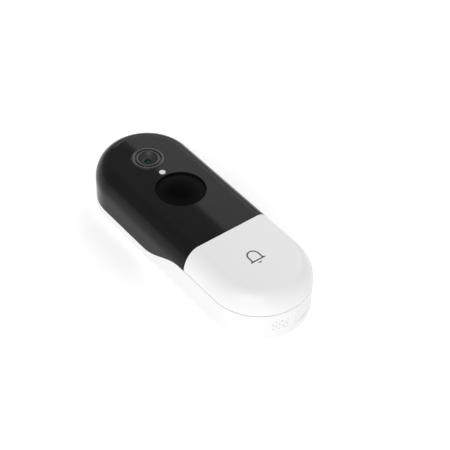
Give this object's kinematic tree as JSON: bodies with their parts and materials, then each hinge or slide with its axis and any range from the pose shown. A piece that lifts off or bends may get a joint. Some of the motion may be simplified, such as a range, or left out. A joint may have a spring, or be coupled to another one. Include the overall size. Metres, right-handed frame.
{
  "type": "video doorbell",
  "caption": "Pill-shaped battery video doorbell: black camera face, white press-lid button, white rear shell and a slide-on wall plate.",
  "frame": {"origin": "middle of the back in the plane of the wall", "axes": "+X across, +Y up the wall towards the camera end, +Z out of the face"},
  "size_m": [0.054, 0.146, 0.0284],
  "materials": {
    "white_shell": "satin moulded",
    "black_shell": "satin moulded",
    "white_lid": "satin moulded",
    "plate_plastic": "matte moulded",
    "seal_rubber": "soft",
    "cover_rubber": "soft",
    "steel": "zinc plated",
    "bezel_plastic": "gloss",
    "lens_glass": "coated",
    "barrel_metal": "black anodised",
    "holder_plastic": "matte moulded",
    "filter_glass": "coated",
    "chip_black": "matte",
    "board_green": "solder mask",
    "flex_amber": "polyimide",
    "light_plastic": "diffusing",
    "sensor_window": "clear tinted",
    "pir_film": "dark moulded",
    "shield_tin": "tin plated",
    "contact_brass": "plated",
    "cell_wrap": "shrink wrap",
    "cradle_plastic": "matte moulded",
    "foam": "foam",
    "button_rubber": "silicone"
  },
  "bodies": {
    "mount_plate": {"wall_plate": "plate_plastic"},
    "doorbell": {"rear_shell": "white_shell", "front_housing": "black_shell", "perimeter_seal": "seal_rubber", "housing_screws": "steel", "return_pads": "button_rubber", "button_board": "board_green", "button_switch": "chip_black", "button_cable": "flex_amber", "camera_bezel": "bezel_plastic", "lens_barrel": "barrel_metal", "front_lens": "lens_glass", "rear_lens": "lens_glass", "lens_holder": "holder_plastic", "infrared_filter": "filter_glass", "image_sensor": "chip_black", "camera_board": "board_green", "camera_screws": "steel", "camera_cable": "flex_amber", "infrared_board": "board_green", "infrared_leds": "sensor_window", "light_ring": "light_plastic", "light_sensor": "sensor_window", "status_leds": "light_plastic", "pir_window": "pir_film", "pir_sensor": "shield_tin", "sensor_board": "board_green", "sensor_screws": "steel", "main_board": "board_green", "main_board_screws": "steel", "processor": "chip_black", "shield_can": "shield_tin", "board_connector": "chip_black", "antenna": "flex_amber", "microphone": "chip_black", "battery_cell_left": "cell_wrap", "battery_cell_right": "cell_wrap", "battery_cradle": "cradle_plastic", "battery_contacts": "contact_brass", "speaker": "chip_black", "speaker_gasket": "foam", "speaker_mesh": "foam", "charging_socket": "shield_tin", "port_board": "board_green", "power_switch": "chip_black"},
    "button": {"button_lid": "white_lid"},
    "button_plunger": {"switch_plunger": "light_plastic"},
    "charging_cover": {"port_cover": "cover_rubber"},
    "reset_key": {"power_button": "button_rubber"},
    "reset_plunger": {"power_plunger": "light_plastic"}
  },
  "joints": [
    {"name": "plate_slide", "type": "slide", "parent": "mount_plate", "child": "doorbell", "axis": [0, 1, 0], "range_m": [0, 0.008]},
    {"name": "button_press", "type": "slide", "parent": "doorbell", "child": "button", "axis": [0, 0, -1], "range_m": [0, 0.0003], "stiffness_N_per_m": 1500, "springref_m": -0.0008, "deforming": ["return_pads"]},
    {"name": "button_plunger_press", "type": "slide", "parent": "doorbell", "child": "button_plunger", "axis": [0, 0, -1], "range_m": [0, 0.0003]},
    {"name": "port_cover_swing", "type": "hinge", "parent": "doorbell", "child": "charging_cover", "pos_m": [0.0081, -0.07094, 0.0055], "axis": [0.9511, 0.309, 0], "range_deg": [0, 95], "stiffness_Nm_per_rad": 0.001, "springref_deg": -8.59},
    {"name": "power_press", "type": "slide", "parent": "doorbell", "child": "reset_key", "axis": [0, 0, 1], "range_m": [0, 0.00045], "stiffness_N_per_m": 1000, "springref_m": -0.001},
    {"name": "power_plunger_press", "type": "slide", "parent": "doorbell", "child": "reset_plunger", "axis": [0, 0, 1], "range_m": [0, 0.00045]}
  ],
  "couplings": [
    {"joint": "button_plunger_press", "follows": "button_press", "ratio": 1},
    {"joint": "power_plunger_press", "follows": "power_press", "ratio": 1}
  ]
}
